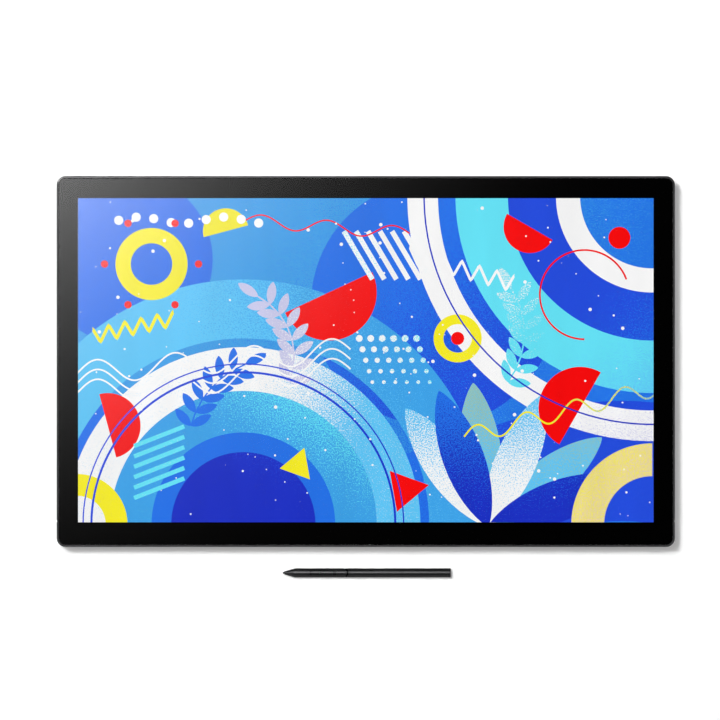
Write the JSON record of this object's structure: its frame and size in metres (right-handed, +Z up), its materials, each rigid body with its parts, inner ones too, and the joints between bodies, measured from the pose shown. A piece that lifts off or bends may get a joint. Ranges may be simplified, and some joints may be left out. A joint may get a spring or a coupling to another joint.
{
  "type": "graphics tablet with screen",
  "caption": "Flat pen display with glass front, slim dark frame, folding rear legs and socket bay, with a round pen that has side buttons and a pressing nib.",
  "frame": {"origin": "middle of the common footprint of display and pen, on the desk they lie on", "axes": "+X to the right along the display's long side, +Y towards its upper edge, +Z up out of the glass"},
  "size_m": [0.5658, 0.368, 0.021],
  "materials": {
    "cover_glass": "etched anti-glare cover glass",
    "black_print": "black ink on the back of the glass",
    "black_foam": "black adhesive foam",
    "frame_upper": "fine-textured dark grey paint on aluminium",
    "frame_lower": "fine-textured dark grey paint on aluminium",
    "screw_steel": "zinc-plated steel",
    "panel_glass": "liquid crystal cell",
    "optical_film": "clear optical film",
    "guide_acrylic": "clear acrylic",
    "white_film": "white reflector film",
    "led_strip": "white strip with yellow lamps",
    "zinc_sheet": "zinc-coated sheet steel",
    "circuit_board": "green solder mask",
    "flex_film": "amber flexible circuit",
    "chip_epoxy": "moulded chip",
    "heat_pad": "soft grey silicone",
    "socket_steel": "nickel-plated shell",
    "socket_plastic": "black moulded plastic",
    "button_plastic": "dark grey moulded plastic",
    "light_pipe": "clear light pipe",
    "back_plastic": "fine-grained black moulded plastic",
    "black_screw": "blackened steel",
    "foot_rubber": "soft black rubber",
    "leg_aluminium": "dark anodised aluminium",
    "hinge_steel": "plain steel",
    "pen_grip": "soft-touch black plastic",
    "pen_body": "satin black plastic",
    "pen_cap": "satin black plastic",
    "pen_gloss": "gloss black ring",
    "pen_trim": "black trim",
    "pen_button": "satin dark grey buttons",
    "pen_nib": "black acetal nib",
    "ferrite": "dark ferrite",
    "copper_wire": "enamelled copper winding"
  },
  "bodies": {
    "display": {"front_glass": "cover_glass", "border_print": "black_print", "glass_tape": "black_foam", "upper_frame": "frame_upper", "lower_frame": "frame_lower", "frame_screws": "screw_steel", "lcd_cell": "panel_glass", "prism_sheet": "optical_film", "diffuser_sheet": "optical_film", "light_guide": "guide_acrylic", "reflector_sheet": "white_film", "led_bar": "led_strip", "backlight_tray": "zinc_sheet", "panel_source_board": "circuit_board", "panel_flexes": "flex_film", "sensor_board": "circuit_board", "shield_plate": "zinc_sheet", "chassis": "zinc_sheet", "standoffs": "screw_steel", "main_board": "circuit_board", "board_chips": "chip_epoxy", "heat_pads": "heat_pad", "board_screws": "screw_steel", "hdmi_socket": "socket_steel", "usb_c_sockets": "socket_steel", "dc_socket": "socket_plastic", "backlight_board": "circuit_board", "ribbon_cables": "flex_film", "button_board": "circuit_board", "status_light": "light_pipe", "rear_cover": "back_plastic", "cover_screws": "black_screw", "mount_plate": "zinc_sheet", "mount_nuts": "screw_steel", "feet": "foot_rubber", "leg_ears_left": "hinge_steel", "leg_ears_right": "hinge_steel", "leg_pins": "hinge_steel", "friction_washers": "hinge_steel", "bracket_screws": "black_screw"},
    "pen": {"pen_front_barrel": "pen_grip", "pen_ring": "pen_gloss", "pen_rear_barrel": "pen_body", "pen_tail_cap": "pen_cap", "pen_button_plate": "pen_trim", "pen_ferrite": "ferrite", "pen_coil": "copper_wire", "pen_force_sensor": "chip_epoxy", "pen_board": "circuit_board", "pen_carrier": "socket_plastic"},
    "nib": {"pen_nib": "pen_nib"},
    "front_side_button": {"pen_button_front": "pen_button"},
    "middle_side_button": {"pen_button_middle": "pen_button"},
    "rear_side_button": {"pen_button_rear": "pen_button"},
    "left_leg": {"leg_left": "leg_aluminium", "leg_tip_left": "foot_rubber"},
    "right_leg": {"leg_right": "leg_aluminium", "leg_tip_right": "foot_rubber"},
    "power_key": {"power_button": "button_plastic"}
  },
  "joints": [
    {"name": "left_leg_fold", "type": "hinge", "parent": "display", "child": "left_leg", "pos_m": [-0.19037, 0.12295, 0.0049], "axis": [1, 0, 0], "range_deg": [0, 75]},
    {"name": "right_leg_fold", "type": "hinge", "parent": "display", "child": "right_leg", "pos_m": [0.19037, 0.12295, 0.0049], "axis": [1, 0, 0], "range_deg": [0, 75]},
    {"name": "power_press", "type": "slide", "parent": "display", "child": "power_key", "axis": [0, -1, 0], "range_m": [0, 0.0005], "stiffness_N_per_m": 1500},
    {"name": "pen_lift", "type": "slide", "parent": "display", "child": "pen", "axis": [0, 0, 1], "range_m": [0, 0.15]},
    {"name": "nib_press", "type": "slide", "parent": "pen", "child": "nib", "axis": [1, 0, 0], "range_m": [0, 0.0005], "stiffness_N_per_m": 1500},
    {"name": "front_button_press", "type": "slide", "parent": "pen", "child": "front_side_button", "axis": [0, 0, -1], "range_m": [0, 0.00035], "stiffness_N_per_m": 1500},
    {"name": "middle_button_press", "type": "slide", "parent": "pen", "child": "middle_side_button", "axis": [0, 0, -1], "range_m": [0, 0.00035], "stiffness_N_per_m": 1500},
    {"name": "rear_button_press", "type": "slide", "parent": "pen", "child": "rear_side_button", "axis": [0, 0, -1], "range_m": [0, 0.00035], "stiffness_N_per_m": 1500}
  ]
}
